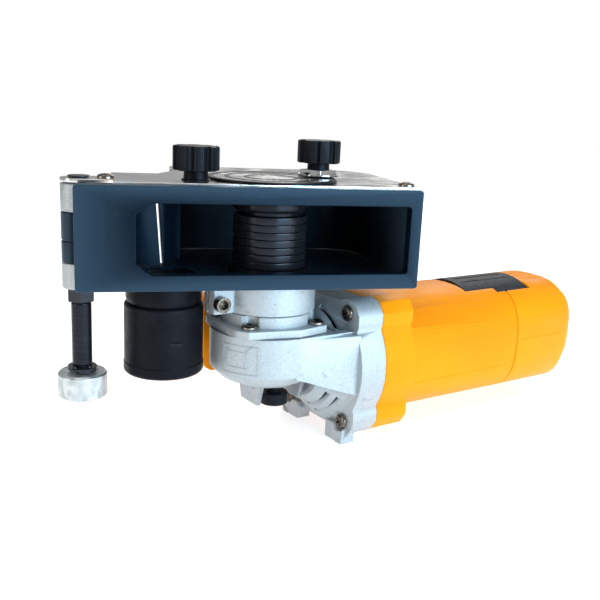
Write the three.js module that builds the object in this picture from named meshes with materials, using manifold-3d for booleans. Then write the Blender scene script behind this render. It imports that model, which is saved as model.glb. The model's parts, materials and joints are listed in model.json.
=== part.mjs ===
// Box-guided slot cutter / biscuit joiner on an angle-grinder motor unit.
// Millimetres, +Z up. Working frame: the arbor axis is x = 0, y = 0 and the
// underside of the cutter box is z = 0. The front shoe faces -Y. The motor axis
// runs level, turned MOTOR.yaw degrees from +X towards +Y.
// At the end the whole group is moved so that its origin is the middle of its
// base, which is the lowest point of the object.
import * as THREE from 'three';
import { mergeVertices } from 'three/addons/utils/BufferGeometryUtils.js';
import Module from 'manifold-3d';

const wasm = await Module();
wasm.setup();

// ---------------------------------------------------------------- dimensions
const GAP = 0.3; // between pieces that touch
const SLIDE = 0.5; // round an opening that a moving piece passes through
const RUN = 0.8; // between pieces that swing past each other
const ROUND = 28; // sides of a large round piece
const SMALL = 14; // sides of a small round piece
const FAR = 400; // longer than any piece, for cutting

const FRAME = {
  left: -119.5, width: 205, height: 60.6, face: -43.1, thick: 8, corner: 2,
  windowLeft: 33.8, windowRight: 7.3, windowBottom: 9.4, windowTop: 10,
  chamferX: 9, chamferZ: 6.3,
};
const BOX = { plate: 2.2, floor: 2.3, top: FRAME.height + 1, wall: 4, back: 85, left: -94 };
BOX.right = FRAME.left + FRAME.width - 4;
const HINGE = { x: FRAME.left + 2.7, y: -11.5, knuckle: 10.7, axle: 4, head: 6.5 };
HINGE.earTop = BOX.top - BOX.plate - 1;
HINGE.knuckleTop = 0.695 * FRAME.height;
HINGE.knuckleBottom = 0.196 * FRAME.height;
HINGE.earBottom = -3.6;
const BLADE_CLEARANCE = 69.7; // radius of the curved wall round the cutter
const LIGHT_GAP = { width: 1.3, tilt: 4.3 }; // slanted slit between the two wall castings
const PORT = { sleeve: 24.85, bottom: -60.9, sleeveTop: -15.9, tube: 2.2, band: 0.45 };
PORT.neck = PORT.sleeve - 1.05;
PORT.bore = PORT.sleeve - 5.35;
const POST = { radius: 6, hexAcross: 14.9, hexHeight: 8.1, bottom: -52, washer: 8.85, washerHeight: 3.7 };
const ROLLER = { radius: 14.8, height: 15.4 };
const RING = { count: 7, radius: 23.4, bottom: 7.48, top: BOX.top - 21.43 };
RING.pitch = (RING.top - RING.bottom) / RING.count;
const ARBOR = { radius: 8, lower: 6, top: BOX.top - 7.6, hub: 20, hubHeight: 2.6, nutHeight: 3.6 };
ARBOR.baseFlange = RING.radius + 3;
ARBOR.topFlange = RING.radius + 1;
ARBOR.nut = ARBOR.radius + 3;
const COLLAR = { outer: 30.9, height: 19.9, neck: 22, slit: 2 };
const LUG = { length: 12.6, half: 8.3, turn: 20, bolt: 8.6, head: 5, shank: 3, socket: 2.9 };
const COVER = { boss: 30.4, bossBottom: -27.7, plate: 5.3, bore: 13, seat: 17 };
const MOTOR = { yaw: 20, z: -60, flange: 43.3, flangeEnd: 63.1, lobedEnd: 90, tailEnd: 270 };
MOTOR.seam = 0.732 * MOTOR.tailEnd;
MOTOR.tailChamfer = MOTOR.tailEnd - 16;
const BARREL = { halfWidth: 43.5, halfHeight: 43, power: 2.3, wall: 3.2 };
Object.assign(BARREL, { rearHalfWidth: 41.5, rearHalfHeight: 42, rearPower: 2.9 });
const LOBE = { halfWidth: 49, y: 42.5, z: 46.9 };
const NOSE = { radius: 37.3, bottom: -71, shoulder: -58, flat: 17, wall: 5, belly: 14 };
const PANEL = { start: 6, startLow: -62, endLow: -75, top: -35 };
PORT.x = -(NOSE.radius + PORT.sleeve + 4.55);
const GEAR = { crownTeeth: 24, pinionTeeth: 8, cone: 22, face: 8, addendum: 1, dedendum: 1.3 };
const PADDLE = { start: MOTOR.tailEnd - 110, step: MOTOR.tailEnd - 81, end: MOTOR.tailEnd - 46 };
Object.assign(PADDLE, { frontHalf: 20, rearHalf: 25, proud: 1.0, thick: 3.2, ribs: [-9, 0, 9] });
const BUTTON = { s: 7.5, radius: 9.5, bottom: -88, height: 8, stem: 5 };
const KNOB = { grip: 14.25, gripHeight: 14.5, stem: 7.5, stud: 3, lobes: 8, lobeDepth: 1.9 };
const LEFT_KNOB = { x: -49.3, y: -15, gripBottom: BOX.top + 5.9 };
const RIGHT_KNOB = { x: 33, y: 11, gripBottom: BOX.top + 10.4 };
const LID = { radius: 41, inner: 35, thick: 1.4 };
const CLAMP_BLOCK = { size: 17, washer: 13, washerHeight: 0.9, height: 3.4, turn: 37 };
const SCREW = { head: 5, headHeight: 2.6, shank: 2.4 };
const HANDLE = { at: 4, half: 27, flangeAt: 44, flange: 5, grip: 16, length: 108, stud: 5, drop: 10 };
const VENT = { first: 31.5, second: 37, width: 2.6 };

// ------------------------------------------------------------------ materials
function finish(color, roughness, metalness) {
  return new THREE.MeshStandardMaterial({ color, roughness, metalness });
}
const blackCoat = finish(0x20303f, 0.35, 0.4);
const blackSteel = finish(0x16181c, 0.4, 0.8);
const blackPlastic = finish(0x15171a, 0.5, 0);
const brightSteel = finish(0xd8dadc, 0.2, 1);
const castSilver = finish(0xb9c3cc, 0.45, 0.7);
const yellowPlastic = finish(0xffc814, 0.4, 0);
const greyRubber = finish(0x33373b, 0.6, 0);
const gearSteel = finish(0x8b8f94, 0.35, 1);
const copper = finish(0xb46a3c, 0.4, 0.9);
const aluminium = finish(0xc9cbcd, 0.35, 0.9);

// -------------------------------------------------------------- solid helpers
function signedVolume(position, index) {
  const a = new THREE.Vector3();
  const b = new THREE.Vector3();
  const c = new THREE.Vector3();
  let six = 0;
  for (let i = 0; i < index.length; i += 3) {
    a.fromBufferAttribute(position, index[i]);
    b.fromBufferAttribute(position, index[i + 1]);
    c.fromBufferAttribute(position, index[i + 2]);
    six += a.dot(b.cross(c));
  }
  return six / 6;
}

function solid(geometry) {
  geometry.deleteAttribute('normal');
  geometry.deleteAttribute('uv');
  const merged = mergeVertices(geometry, 1e-4);
  const kept = [];
  const all = merged.index.array;
  for (let i = 0; i < all.length; i += 3) {
    const [p, q, r] = [all[i], all[i + 1], all[i + 2]];
    if (p !== q && q !== r && r !== p) kept.push(p, q, r);
  }
  if (signedVolume(merged.attributes.position, kept) < 0) kept.reverse();
  const vertProperties = Float32Array.from(merged.attributes.position.array);
  return new wasm.Manifold(new wasm.Mesh({ numProp: 3, vertProperties, triVerts: Uint32Array.from(kept) }));
}

function geometryOf(body) {
  const mesh = body.getMesh();
  const geometry = new THREE.BufferGeometry();
  geometry.setAttribute('position', new THREE.BufferAttribute(mesh.vertProperties, 3));
  geometry.setIndex(new THREE.BufferAttribute(mesh.triVerts, 1));
  geometry.computeVertexNormals();
  return geometry;
}

const union = (first, ...rest) => rest.reduce((sum, body) => sum.add(body), first);
const cut = (first, ...rest) => rest.reduce((left, body) => left.subtract(body), first);

function block(x0, x1, y0, y1, z0, z1) {
  const geometry = new THREE.BoxGeometry(x1 - x0, y1 - y0, z1 - z0);
  return solid(geometry.translate((x0 + x1) / 2, (y0 + y1) / 2, (z0 + z1) / 2));
}

function disc(radius, z0, z1, x = 0, y = 0, sides = ROUND, topRadius = radius) {
  const geometry = new THREE.CylinderGeometry(topRadius, radius, z1 - z0, sides);
  return solid(geometry.rotateX(Math.PI / 2).translate(x, y, (z0 + z1) / 2));
}

function discX(radius, x0, x1, y = 0, z = 0, sides = ROUND, endRadius = radius) {
  const geometry = new THREE.CylinderGeometry(endRadius, radius, x1 - x0, sides);
  return solid(geometry.rotateZ(-Math.PI / 2).translate((x0 + x1) / 2, y, z));
}

function discY(radius, y0, y1, x = 0, z = 0, sides = SMALL) {
  const geometry = new THREE.CylinderGeometry(radius, radius, y1 - y0, sides);
  return solid(geometry.translate(x, (y0 + y1) / 2, z));
}

function ring(outer, inner, z0, z1, x = 0, y = 0, sides = ROUND) {
  return disc(outer, z0, z1, x, y, sides).subtract(disc(inner, z0 - 1, z1 + 1, x, y, sides));
}

function ringX(outer, inner, x0, x1, z, sides = ROUND) {
  return discX(outer, x0, x1, 0, z, sides).subtract(discX(inner, x0 - 1, x1 + 1, 0, z, sides));
}

// Upright prism from an outline of [x, y] points.
function prism(points, z0, z1) {
  const shape = new THREE.Shape(points.map(([x, y]) => new THREE.Vector2(x, y)));
  const geometry = new THREE.ExtrudeGeometry(shape, { depth: z1 - z0, bevelEnabled: false });
  return solid(geometry.translate(0, 0, z0));
}

// Prism along X from an outline of [y, z] points.
function prismX(points, x0, x1) {
  const geometry = new THREE.ExtrudeGeometry(
    new THREE.Shape(points.map(([y, z]) => new THREE.Vector2(y, z))),
    { depth: x1 - x0, bevelEnabled: false },
  );
  geometry.applyMatrix4(new THREE.Matrix4().makeBasis(
    new THREE.Vector3(0, 1, 0), new THREE.Vector3(0, 0, 1), new THREE.Vector3(1, 0, 0),
  ));
  return solid(geometry.translate(x0, 0, 0));
}

// Prism along Y from an outline of [x, z] points.
function prismY(points, y0, y1) {
  const geometry = new THREE.ExtrudeGeometry(
    new THREE.Shape(points.map(([x, z]) => new THREE.Vector2(x, -z))),
    { depth: y1 - y0, bevelEnabled: false },
  );
  return solid(geometry.rotateX(-Math.PI / 2).translate(0, y0, 0));
}

// Turned about Z from a profile of [radius, z] points.
function turned(profile, sides = ROUND) {
  const geometry = new THREE.LatheGeometry(profile.map(([r, z]) => new THREE.Vector2(r, z)), sides);
  return solid(geometry.rotateX(Math.PI / 2));
}

function arcPoints(cx, cy, radius, from, to, steps) {
  return Array.from({ length: steps + 1 }, (_, i) => {
    const angle = THREE.MathUtils.degToRad(from + ((to - from) * i) / steps);
    return [cx + radius * Math.cos(angle), cy + radius * Math.sin(angle)];
  });
}

function roundedBox(x0, x1, y0, y1, r, steps = 4) {
  return [
    ...arcPoints(x1 - r, y1 - r, r, 0, 90, steps), ...arcPoints(x0 + r, y1 - r, r, 90, 180, steps),
    ...arcPoints(x0 + r, y0 + r, r, 180, 270, steps), ...arcPoints(x1 - r, y0 + r, r, 270, 360, steps),
  ];
}

// Closed skin through equal rings of [y, z] points at the given x values.
function loft(sections) {
  const count = sections[0].points.length;
  const vertices = sections.flatMap(({ x, points }) => points.flatMap(([y, z]) => [x, y, z]));
  const index = [];
  for (let k = 0; k + 1 < sections.length; k += 1) {
    for (let i = 0; i < count; i += 1) {
      const a = k * count + i;
      const b = k * count + ((i + 1) % count);
      index.push(a, b, b + count, a, b + count, a + count);
    }
  }
  const last = (sections.length - 1) * count;
  for (let i = 1; i + 1 < count; i += 1) {
    index.push(0, i + 1, i);
    index.push(last, last + i, last + i + 1);
  }
  const geometry = new THREE.BufferGeometry();
  geometry.setAttribute('position', new THREE.Float32BufferAttribute(vertices, 3));
  geometry.setIndex(index);
  return solid(geometry);
}

// Rounded barrel section, squarer than an ellipse as the power rises above 2.
function barrelSection(halfWidth, halfHeight, power, sides = 36) {
  return Array.from({ length: sides }, (_, i) => {
    const angle = (2 * Math.PI * i) / sides;
    const [c, s] = [Math.cos(angle), Math.sin(angle)];
    return [
      halfWidth * Math.sign(c) * Math.abs(c) ** (2 / power),
      MOTOR.z + halfHeight * Math.sign(s) * Math.abs(s) ** (2 / power),
    ];
  });
}

// ------------------------------------------------------------------- assembly
const assembly = new THREE.Group();
const motorUnit = new THREE.Group();
motorUnit.rotation.z = THREE.MathUtils.degToRad(MOTOR.yaw);
assembly.add(motorUnit);

function piece(parent, name, body, material) {
  const mesh = new THREE.Mesh(geometryOf(body), material);
  mesh.name = name;
  parent.add(mesh);
}

// Pan-head screw standing on z = 0 with a cross recess and a short shank below.
function panScrew(head = SCREW.head, height = SCREW.headHeight, shankLength = 4) {
  const dome = turned([
    [0, 0], [head, 0], [head, height * 0.45], [head * 0.7, height], [0, height],
  ], SMALL);
  const slot = head * 0.16;
  const reach = head * 0.55;
  const recess = [
    block(-reach, reach, -slot, slot, height * 0.45, height + 1),
    block(-slot, slot, -reach, reach, height * 0.45, height + 1),
  ];
  return cut(dome, ...recess).add(disc(SCREW.shank, -shankLength, 0.1, 0, 0, 12));
}

// ----------------------------------------------------------------- front shoe
function frontFrame() {
  const right = FRAME.left + FRAME.width;
  const back = FRAME.face + FRAME.thick;
  const plate = prismY(roundedBox(FRAME.left, right, 0, FRAME.height, FRAME.corner), FRAME.face, back);
  const x0 = FRAME.left + FRAME.windowLeft;
  const x1 = right - FRAME.windowRight;
  const z0 = FRAME.windowBottom;
  const z1 = FRAME.height - FRAME.windowTop;
  const window = prismY([
    [x0 + FRAME.chamferX, z0], ...arcPoints(x1 - 2, z0 + 2, 2, 270, 360, 3),
    ...arcPoints(x1 - 2, z1 - 2, 2, 0, 90, 3), [x0 + FRAME.chamferX, z1],
    [x0, z1 - FRAME.chamferZ], [x0, z0 + FRAME.chamferZ],
  ], FRAME.face - 1, back + 1);
  const low = HINGE.knuckleBottom + RUN / 2;
  const high = HINGE.knuckleTop - RUN / 2;
  const knuckle = disc(HINGE.knuckle, low, high, HINGE.x, HINGE.y);
  const arm = block(FRAME.left, HINGE.x + HINGE.knuckle, back - 1, HINGE.y, low, high);
  const bore = disc(HINGE.axle + GAP, low - 1, high + 1, HINGE.x, HINGE.y, SMALL);
  const split = (low + high) / 2 - 2.4;
  const groove = ring(HINGE.knuckle + 1, HINGE.knuckle - 0.8, split, split + 0.6, HINGE.x, HINGE.y);
  return cut(union(plate, knuckle, arm), window, bore, groove);
}
piece(assembly, 'front_frame', frontFrame(), blackCoat);

// ----------------------------------------------------------------- cutter box
const boxFront = FRAME.face + FRAME.thick + GAP;
const cornerStart = 180 - THREE.MathUtils.radToDeg(Math.asin(22 / BLADE_CLEARANCE));
const cornerEnd = 138.5;
const stepX = BLADE_CLEARANCE * Math.cos(THREE.MathUtils.degToRad(cornerEnd));
const innerWall = [
  [BOX.left, boxFront], [BOX.left, 22],
  ...arcPoints(0, 0, BLADE_CLEARANCE, cornerStart, cornerEnd, 6),
  [stepX, BOX.back],
  ...arcPoints(BOX.right - 25, BOX.back - 25, 25, 90, 0, 6), [BOX.right, boxFront],
];

// Offsets an open path to its left by the wall thickness.
function offsetPath(path, distance) {
  return path.map(([x, y], i) => {
    const before = path[Math.max(i - 1, 0)];
    const after = path[Math.min(i + 1, path.length - 1)];
    const unit = (from, to) => new THREE.Vector2(to[0] - from[0], to[1] - from[1]).normalize();
    const first = i > 0 ? unit(before, [x, y]) : unit([x, y], after);
    const second = i < path.length - 1 ? unit([x, y], after) : first;
    const normal = new THREE.Vector2(-(first.y + second.y), first.x + second.x);
    const along = distance / (normal.x * -first.y + normal.y * first.x);
    return [x + normal.x * along, y + normal.y * along];
  });
}
const outerWall = offsetPath(innerWall, BOX.wall);
const plateOutline = [...outerWall].reverse();
const wallBottom = BOX.floor + GAP;
const wallTop = BOX.top - BOX.plate - GAP;
const wallOutline = [...innerWall, ...plateOutline];

// Everything left of the slanted light gap.
const gapX = innerWall[2][0];
function leftOfGap(shift) {
  const half = new THREE.BoxGeometry(FAR, FAR, FAR).translate(-FAR / 2 + shift, 0, 0);
  half.rotateY(-THREE.MathUtils.degToRad(LIGHT_GAP.tilt));
  return solid(half.translate(gapX, 0, wallBottom + 4));
}
const wholeWall = prism(wallOutline, wallBottom, wallTop);
piece(assembly, 'left_housing_wall', wholeWall.intersect(leftOfGap(-LIGHT_GAP.width)), blackCoat);
piece(assembly, 'housing_wall', wholeWall.subtract(leftOfGap(0)), blackCoat);

const shaftHole = disc(ARBOR.radius + 6, -1, BOX.floor + 1);
const portHole = disc(PORT.bore, -1, BOX.floor + 1, PORT.x).intersect(prism([
  [BOX.left + 1, -FAR], [FAR, -FAR], [FAR, 18], [BOX.left + 1, 18],
], -2, BOX.floor + 2));
piece(assembly, 'bottom_plate', cut(prism(plateOutline, 0, BOX.floor), shaftHole, portHole), blackCoat);

const topPlateBottom = BOX.top - BOX.plate;
const hingeTab = union(
  disc(HINGE.knuckle, topPlateBottom, BOX.top, HINGE.x, HINGE.y),
  block(HINGE.x, BOX.left, HINGE.y - HINGE.knuckle, HINGE.y + HINGE.knuckle, topPlateBottom, BOX.top),
);
const rightScrew = [FRAME.left + FRAME.width - 6.5, boxFront + 6];
const leftScrew = [HINGE.x + 15.1, HINGE.y - 4.5];
function topPlate() {
  const holes = [
    disc(LID.inner - 2, topPlateBottom - 1, BOX.top + 1),
    disc(HINGE.axle + GAP, topPlateBottom - 1, BOX.top + 1, HINGE.x, HINGE.y, SMALL),
    ...[LEFT_KNOB, RIGHT_KNOB].map(({ x, y }) => (
      disc(KNOB.stud + GAP, topPlateBottom - 1, BOX.top + 1, x, y, SMALL)
    )),
    disc(SCREW.shank + GAP, topPlateBottom - 1, BOX.top + 1, ...rightScrew, 12),
    disc(SCREW.shank + GAP, topPlateBottom - 1, BOX.top + 1, ...leftScrew, 12),
  ];
  return cut(prism(plateOutline, topPlateBottom, BOX.top).add(hingeTab), ...holes);
}
piece(assembly, 'top_plate', topPlate(), brightSteel);

const lidBottom = BOX.top + GAP;
const lidTop = lidBottom + LID.thick;
const lidScrewHole = disc(KNOB.stud + GAP, lidBottom - 1, lidTop + 2, RIGHT_KNOB.x, RIGHT_KNOB.y, SMALL);
function accessLid() {
  const body = disc(LID.radius, lidBottom, lidTop, 0, 0, 36);
  const groove = ring(LID.inner + 0.8, LID.inner, lidTop - 0.6, lidTop + 1, 0, 0, 36);
  return cut(body, groove, lidScrewHole);
}
piece(assembly, 'access_cover', accessLid(), brightSteel);

function onPlate([x, y]) {
  return panScrew().translate([x, y, BOX.top + GAP]);
}
piece(assembly, 'plate_screw_right', onPlate(rightScrew), gearSteel);
piece(assembly, 'plate_screw_left', onPlate(leftScrew), gearSteel);

// ---------------------------------------------------------------- hinge, post
function hingeBracket() {
  const reach = BOX.left - BOX.wall - GAP;
  const ear = (z0, z1) => union(
    disc(HINGE.knuckle, z0, z1, HINGE.x, HINGE.y),
    block(HINGE.x, reach, HINGE.y, HINGE.y + HINGE.knuckle, z0, z1),
  );
  const spineLeft = HINGE.x + HINGE.knuckle + RUN;
  const spineBack = HINGE.y + 2 * HINGE.knuckle;
  const spine = block(spineLeft, reach, HINGE.y, spineBack, HINGE.earBottom, HINGE.earTop);
  const bore = disc(HINGE.axle + GAP, HINGE.earBottom - 1, HINGE.earTop + 1, HINGE.x, HINGE.y, SMALL);
  const ears = [ear(HINGE.earBottom, HINGE.knuckleBottom), ear(HINGE.knuckleTop, HINGE.earTop)];
  return cut(union(spine, ...ears), bore);
}
piece(assembly, 'hinge_bracket', hingeBracket(), castSilver);

const rollerTop = POST.bottom - GAP - POST.washerHeight - GAP;
const rollerBottom = rollerTop - ROLLER.height;
const axleBottom = rollerBottom + 4.5;
const atHinge = (body) => body.translate([HINGE.x, HINGE.y, 0]);
piece(assembly, 'hinge_axle', atHinge(union(
  disc(HINGE.axle, axleBottom, BOX.top + 1, 0, 0, SMALL),
  disc(HINGE.head, BOX.top + GAP, BOX.top + 1.3, 0, 0, SMALL),
)), blackSteel);
const hexTop = HINGE.earBottom - GAP;
const hexBottom = hexTop - POST.hexHeight;
const hexRadius = POST.hexAcross / Math.sqrt(3);
const axleBore = (z0, z1) => disc(HINGE.axle + GAP, z0 - 1, z1 + 1, 0, 0, SMALL);
const hexNut = disc(hexRadius, hexBottom, hexTop, 0, 0, 6).subtract(axleBore(hexBottom, hexTop));
piece(assembly, 'post_nut', atHinge(hexNut), blackSteel);
piece(assembly, 'support_post', atHinge(
  ring(POST.radius, HINGE.axle + GAP, POST.bottom, hexBottom - GAP, 0, 0, 28),
), blackSteel);
const washerTop = POST.bottom - GAP;
piece(assembly, 'spring_washer', atHinge(cut(
  ring(POST.washer, HINGE.axle + GAP, washerTop - POST.washerHeight, washerTop, 0, 0, 28),
  block(0, FAR, -0.6, 0.6, -FAR, 0),
)), blackSteel);
piece(assembly, 'roller', atHinge(cut(
  disc(ROLLER.radius, rollerBottom, rollerTop),
  axleBore(rollerBottom, rollerTop),
  disc(7, rollerBottom - 1, axleBottom, 0, 0, SMALL),
)), aluminium);
piece(assembly, 'roller_bolt', atHinge(disc(5.6, rollerBottom + 0.6, axleBottom - GAP, 0, 0, 6)), blackSteel);

// ------------------------------------------------------------------ dust port
const portNeckBottom = PORT.bottom + 9;
piece(assembly, 'dust_port_neck', cut(
  union(
    disc(PORT.neck, PORT.sleeveTop + GAP, -GAP, PORT.x),
    disc(PORT.bore + PORT.tube, portNeckBottom, PORT.sleeveTop + 1, PORT.x),
  ),
  disc(PORT.bore, portNeckBottom - 1, 1, PORT.x),
), blackPlastic);
piece(assembly, 'dust_port_sleeve', cut(
  union(
    disc(PORT.sleeve, PORT.bottom + 7.4, PORT.sleeveTop, PORT.x),
    disc(PORT.sleeve + PORT.band, PORT.bottom + 2, PORT.bottom + 7.5, PORT.x),
    disc(PORT.sleeve - 1.4, PORT.bottom, PORT.bottom + 2.1, PORT.x, 0, ROUND, PORT.sleeve + PORT.band),
    block(PORT.x + 2, PORT.x + 9.5, -PORT.sleeve - 0.8, -PORT.sleeve + 2, -38.6, -37),
  ),
  disc(PORT.bore + PORT.tube + GAP, PORT.bottom - 1, PORT.sleeveTop + 1, PORT.x),
), blackPlastic);

// --------------------------------------------------------------- clamp collar
const collarTop = -GAP;
const collarBottom = collarTop - COLLAR.height;
const lugOuter = -COLLAR.outer - LUG.length;
const clampX = -COLLAR.outer - LUG.bolt;
const clampZ = collarBottom + 7.2;
const turnLug = (body) => body.rotate([0, 0, LUG.turn]);
piece(assembly, 'clamp_collar', cut(
  turnLug(cut(
    union(
      disc(COLLAR.outer, collarBottom, collarTop, 0, 0, 36),
      block(lugOuter, -COLLAR.neck, -LUG.half, LUG.half, collarBottom, collarTop),
    ),
    block(-FAR, 0, -COLLAR.slit / 2, COLLAR.slit / 2, -FAR, FAR),
    discY(LUG.shank + 0.4, -FAR / 2, LUG.half - 2, clampX, clampZ),
  )),
  disc(COLLAR.neck + GAP, collarBottom - 1, collarTop + 1),
  disc(PORT.sleeve + 2 * RUN, collarBottom - 1, collarTop + 1, PORT.x),
), castSilver);
const boltHead = -LUG.half - GAP;
piece(assembly, 'clamp_bolt', turnLug(cut(
  union(
    discY(LUG.head, boltHead - 5.6, boltHead, clampX, clampZ, 24),
    discY(LUG.shank, boltHead - 0.1, LUG.half - 3, clampX, clampZ),
  ),
  discY(LUG.socket, boltHead - 8.6, boltHead - 2.6, clampX, clampZ, 6),
)), blackSteel);

// ---------------------------------------------------------------- star knobs
function starKnob({ x, y, gripBottom }, stemBottom) {
  const outline = Array.from({ length: KNOB.lobes * 6 }, (_, i) => {
    const angle = (2 * Math.PI * i) / (KNOB.lobes * 6);
    const dip = KNOB.lobeDepth * Math.max(0, -Math.cos(KNOB.lobes * angle));
    const radius = KNOB.grip - dip;
    return [radius * Math.cos(angle), radius * Math.sin(angle)];
  });
  const body = union(
    prism(outline, gripBottom, gripBottom + KNOB.gripHeight),
    disc(KNOB.stem, stemBottom, gripBottom + 1, 0, 0, 28),
    disc(KNOB.stud, topPlateBottom - 8, stemBottom + 1, 0, 0, 12),
  );
  return body.translate([x, y, 0]);
}
piece(assembly, 'left_star_knob', starKnob(LEFT_KNOB, BOX.top + GAP), blackPlastic);
const washerBase = lidTop + GAP;
const blockTop = washerBase + CLAMP_BLOCK.washerHeight + CLAMP_BLOCK.height;
piece(assembly, 'right_star_knob', starKnob(RIGHT_KNOB, blockTop + GAP), blackPlastic);
function clampBlock() {
  const half = CLAMP_BLOCK.size / 2;
  const body = block(-half, half, -half, half, blockTop - CLAMP_BLOCK.height, blockTop)
    .rotate([0, 0, CLAMP_BLOCK.turn])
    .add(disc(CLAMP_BLOCK.washer, washerBase, blockTop - CLAMP_BLOCK.height + 0.1))
    .subtract(disc(KNOB.stud + GAP, washerBase - 1, blockTop + 1, 0, 0, 12));
  return body.translate([RIGHT_KNOB.x, RIGHT_KNOB.y, 0]);
}
piece(assembly, 'clamp_block', clampBlock(), brightSteel);

// ---------------------------------------------------------------------- arbor
const shaftBottom = MOTOR.z - 3;
piece(assembly, 'arbor_shaft', union(
  disc(ARBOR.lower, shaftBottom, COVER.bossBottom, 0, 0, 28),
  disc(ARBOR.radius, COVER.bossBottom - 0.1, ARBOR.top - 3, 0, 0, 28),
), gearSteel);
const arborBore = ARBOR.radius + GAP;
piece(assembly, 'base_flange', ring(ARBOR.baseFlange, arborBore, BOX.floor + RUN, RING.bottom), blackSteel);
for (let i = 0; i < RING.count; i += 1) {
  const top = RING.top - i * RING.pitch;
  const body = ring(RING.radius, arborBore, top - RING.pitch + GAP, top);
  piece(assembly, `spacer_ring_${i + 1}`, body, blackSteel);
}
piece(assembly, 'top_flange', cut(
  union(
    disc(ARBOR.hub, RING.top + GAP, RING.top + ARBOR.hubHeight + 0.1),
    disc(ARBOR.topFlange, RING.top + ARBOR.hubHeight, ARBOR.top),
    disc(ARBOR.nut, ARBOR.top - 0.1, ARBOR.top + ARBOR.nutHeight, 0, 0, 6),
  ),
  disc(arborBore, RING.top - 1, ARBOR.top - 3 + GAP, 0, 0, 28),
), blackSteel);

// ------------------------------------------------------------ bevel gear pair
// Both gears share one apex, where the arbor axis meets the motor axis.
const pinionCone = Math.atan(GEAR.pinionTeeth / GEAR.crownTeeth);
function bevelTeeth(teeth, cone, phase) {
  const tip = cone + GEAR.addendum / GEAR.cone;
  const root = cone - (GEAR.dedendum + 0.3) / GEAR.cone;
  const pitch = (2 * Math.PI) / teeth;
  const point = (distance, angle, azimuth) => [
    distance * Math.sin(angle) * Math.cos(azimuth),
    distance * Math.sin(angle) * Math.sin(azimuth),
    distance * Math.cos(angle),
  ];
  return Array.from({ length: teeth }, (_, k) => {
    const middle = (k + phase) * pitch;
    const corners = [];
    for (const distance of [GEAR.cone - GEAR.face, GEAR.cone]) {
      for (const [angle, turn] of [[root, -0.2], [tip, -0.1], [tip, 0.1], [root, 0.2]]) {
        corners.push(...point(distance, angle, middle + turn * pitch));
      }
    }
    const geometry = new THREE.BufferGeometry();
    geometry.setAttribute('position', new THREE.Float32BufferAttribute(corners, 3));
    geometry.setIndex([
      0, 1, 2, 0, 2, 3, 4, 6, 5, 4, 7, 6, 0, 5, 1, 0, 4, 5,
      1, 6, 2, 1, 5, 6, 2, 7, 3, 2, 6, 7, 3, 4, 0, 3, 7, 4,
    ]);
    return solid(geometry);
  });
}

function bevelGear(teeth, cone, back, bore, phase) {
  const root = cone - GEAR.dedendum / GEAR.cone;
  const inner = GEAR.cone - GEAR.face;
  const [ri, hi] = [inner * Math.sin(root), inner * Math.cos(root)];
  const [ro, ho] = [GEAR.cone * Math.sin(root), GEAR.cone * Math.cos(root)];
  const body = turned([[0, hi], [ri, hi], [ro, ho], [ro, back], [0, back]], ROUND);
  return cut(union(body, ...bevelTeeth(teeth, cone, phase)), disc(bore.radius, bore.from, bore.to, 0, 0, 28));
}
const crown = bevelGear(GEAR.crownTeeth, Math.PI / 2 - pinionCone, 14, {
  radius: ARBOR.lower + GAP, from: -1, to: 20,
}, 0.5);
piece(motorUnit, 'crown_gear', crown.translate([0, 0, MOTOR.z]), gearSteel);
const pinionBack = GEAR.cone + 2;
const shaft = { radius: 3, start: 17.5, thick: 5 };
const pinion = bevelGear(GEAR.pinionTeeth, pinionCone, pinionBack, {
  radius: shaft.radius + GAP, from: shaft.start - GAP, to: pinionBack + 1,
}, 0);
piece(motorUnit, 'bevel_pinion', pinion.rotate([0, 90, 0]).translate([0, 0, MOTOR.z]), gearSteel);

// ------------------------------------------------------------------- armature
const core = { start: 102, end: 152, radius: 22 };
const onAxis = (body) => body.translate([0, 0, MOTOR.z]);
piece(motorUnit, 'armature_shaft', onAxis(union(
  discX(shaft.radius, shaft.start, pinionBack + 4.1, 0, 0, SMALL),
  discX(shaft.thick, pinionBack + 4, 205, 0, 0, SMALL),
)), gearSteel);
const turnedOn = (radius, x0, x1) => ringX(radius, shaft.thick + GAP, x0, x1, MOTOR.z, 32);
piece(motorUnit, 'armature_core', turnedOn(core.radius, core.start, core.end), copper);
piece(motorUnit, 'commutator', turnedOn(14, 162, 180), copper);
function coolingFan() {
  const blades = Array.from({ length: 9 }, (_, k) => block(0, 9, 11, 33, -1, 1).rotate([40 * k, 0, 0]));
  const hub = discX(13, 0, 9, 0, 0, 28);
  const back = discX(33, 7.2, 9, 0, 0, ROUND);
  const fan = union(hub, back, ...blades).subtract(discX(shaft.thick + GAP, -1, 12, 0, 0, SMALL));
  return onAxis(fan.translate([MOTOR.flangeEnd - 13, 0, 0]));
}
piece(motorUnit, 'cooling_fan', coolingFan(), blackPlastic);

// ------------------------------------------------------------------ gear case
function lobedOutline() {
  const quarter = [
    ...arcPoints(0, 0, LOBE.halfWidth, 0, 33, 4), [LOBE.y, 30], [LOBE.y, 37], [LOBE.y - 5, 44.5],
    [LOBE.y - 14, LOBE.z], [LOBE.y - 19, LOBE.z - 2], [LOBE.y - 22, LOBE.z - 3],
  ];
  const mirror = (flipY, flipZ) => quarter.map(([y, z]) => [y * flipY, z * flipZ]);
  const outline = [
    ...mirror(1, 1), ...mirror(-1, 1).reverse(), ...mirror(-1, -1), ...mirror(1, -1).reverse(),
  ];
  return outline.filter(([y, z], i) => {
    const [py, pz] = outline[(i + outline.length - 1) % outline.length];
    return Math.hypot(y - py, z - pz) > 0.01;
  }).map(([y, z]) => [y, z + MOTOR.z]);
}

const coverPlateBottom = COVER.bossBottom - COVER.plate;
const caseTop = coverPlateBottom - GAP;
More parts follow.
